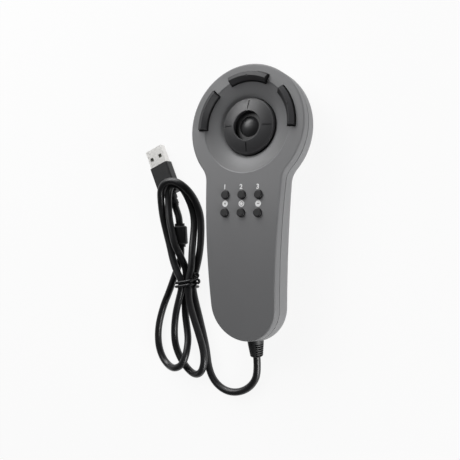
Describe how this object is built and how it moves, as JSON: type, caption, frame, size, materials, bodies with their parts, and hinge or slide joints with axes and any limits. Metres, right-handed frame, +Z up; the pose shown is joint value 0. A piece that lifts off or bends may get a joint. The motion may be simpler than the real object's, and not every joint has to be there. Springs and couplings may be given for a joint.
{
  "type": "gamepad",
  "caption": "Wand-shaped wired gamepad: round head with a rocker disc in a bowl, arc and round keys on an arched handle, and a cable in a tied hank.",
  "frame": {"origin": "on the table under the middle of the case, which lies on its back", "axes": "+Z up off the table and out of the front face, +Y from the handle end to the head, +X to the right when looking down on the front face"},
  "size_m": [0.1172, 0.1946, 0.0282],
  "materials": {
    "front_shell": "satin moulded plastic in mid grey with a very fine spark-eroded grain",
    "back_shell": "satin moulded plastic in mid grey",
    "disc": "satin moulded plastic in near-black grey",
    "bushing": "black acetal, smooth",
    "collar": "smooth dark plastic",
    "centre_button": "satin moulded plastic",
    "arc_button": "satin moulded plastic in near-black grey",
    "round_button": "satin moulded plastic in dark grey",
    "contact_mat": "translucent grey silicone rubber",
    "circuit_board": "green solder mask over glass laminate",
    "screw": "zinc plated",
    "chip": "black moulded package",
    "board_component": "metal can and ceramic bodies",
    "ribbon": "white film over flat conductors",
    "socket": "natural nylon",
    "cable": "black smooth jacket with a soft sheen",
    "boot": "black flexible moulding",
    "ferrite": "black overmoulded sleeve",
    "plug_grip": "charcoal moulding",
    "plug_metal": "nickel plated sheet steel",
    "plug_tongue": "dark olive plastic",
    "contact": "gold plated",
    "tie_wire": "glossy black coating over wire",
    "marking": "printed white ink"
  },
  "bodies": {
    "case": {"front_shell": "front_shell", "back_shell": "back_shell", "housing_screws": "screw", "pivot_collar": "collar", "head_mat": "contact_mat", "keypad_mat": "contact_mat", "head_board": "circuit_board", "keypad_board": "circuit_board", "board_screws": "screw", "controller_chip": "chip", "board_components": "board_component", "ribbon_cable": "ribbon", "ribbon_sockets": "socket", "cable_header": "socket", "header_plug": "socket", "inner_cable": "cable", "strain_relief": "boot", "cable_lead": "cable", "cable_hank": "cable", "cable_tail": "cable", "ferrite_bead": "ferrite", "plug_relief": "boot", "plug_body": "plug_grip", "plug_shell": "plug_metal", "plug_tongue": "plug_tongue", "plug_contacts": "contact", "cable_tie": "tie_wire"},
    "tilt_ring": {"pivot_bushing": "bushing"},
    "disc": {"direction_disc": "disc"},
    "centre_button": {"centre_button": "centre_button"},
    "arc_left": {"arc_button_left": "arc_button"},
    "arc_top": {"arc_button_top": "arc_button"},
    "arc_right": {"arc_button_right": "arc_button"},
    "key_1": {"round_button_1": "round_button"},
    "key_2": {"round_button_2": "round_button"},
    "key_3": {"round_button_3": "round_button"},
    "key_4": {"round_button_4": "round_button"},
    "key_5": {"round_button_5": "round_button"},
    "key_6": {"round_button_6": "round_button"}
  },
  "joints": [
    {"name": "disc_tilt_fore_aft", "type": "hinge", "parent": "case", "child": "tilt_ring", "pos_m": [0, 0.04389, 0.0167], "axis": [1, 0, 0], "range_deg": [-4, 4], "stiffness_Nm_per_rad": 0.4},
    {"name": "disc_tilt_sideways", "type": "hinge", "parent": "tilt_ring", "child": "disc", "pos_m": [0, 0.04389, 0.0167], "axis": [0, 0.9952, -0.0983], "range_deg": [-4, 4], "stiffness_Nm_per_rad": 0.4},
    {"name": "centre_press", "type": "slide", "parent": "case", "child": "centre_button", "axis": [0, -0.0983, -0.9952], "range_m": [0, 0.0008], "stiffness_N_per_m": 1200},
    {"name": "arc_left_press", "type": "slide", "parent": "case", "child": "arc_left", "axis": [0, -0.0983, -0.9952], "range_m": [0, 0.0008], "stiffness_N_per_m": 1200},
    {"name": "arc_top_press", "type": "slide", "parent": "case", "child": "arc_top", "axis": [0, -0.0983, -0.9952], "range_m": [0, 0.0008], "stiffness_N_per_m": 1200},
    {"name": "arc_right_press", "type": "slide", "parent": "case", "child": "arc_right", "axis": [0, -0.0983, -0.9952], "range_m": [0, 0.0008], "stiffness_N_per_m": 1200},
    {"name": "key_1_press", "type": "slide", "parent": "case", "child": "key_1", "axis": [0, -0.0983, -0.9952], "range_m": [0, 0.0008], "stiffness_N_per_m": 1200},
    {"name": "key_2_press", "type": "slide", "parent": "case", "child": "key_2", "axis": [0, -0.0983, -0.9952], "range_m": [0, 0.0008], "stiffness_N_per_m": 1200},
    {"name": "key_3_press", "type": "slide", "parent": "case", "child": "key_3", "axis": [0, -0.0983, -0.9952], "range_m": [0, 0.0008], "stiffness_N_per_m": 1200},
    {"name": "key_4_press", "type": "slide", "parent": "case", "child": "key_4", "axis": [0, -0.0983, -0.9952], "range_m": [0, 0.0008], "stiffness_N_per_m": 1200},
    {"name": "key_5_press", "type": "slide", "parent": "case", "child": "key_5", "axis": [0, -0.0983, -0.9952], "range_m": [0, 0.0008], "stiffness_N_per_m": 1200},
    {"name": "key_6_press", "type": "slide", "parent": "case", "child": "key_6", "axis": [0, -0.0983, -0.9952], "range_m": [0, 0.0008], "stiffness_N_per_m": 1200}
  ]
}
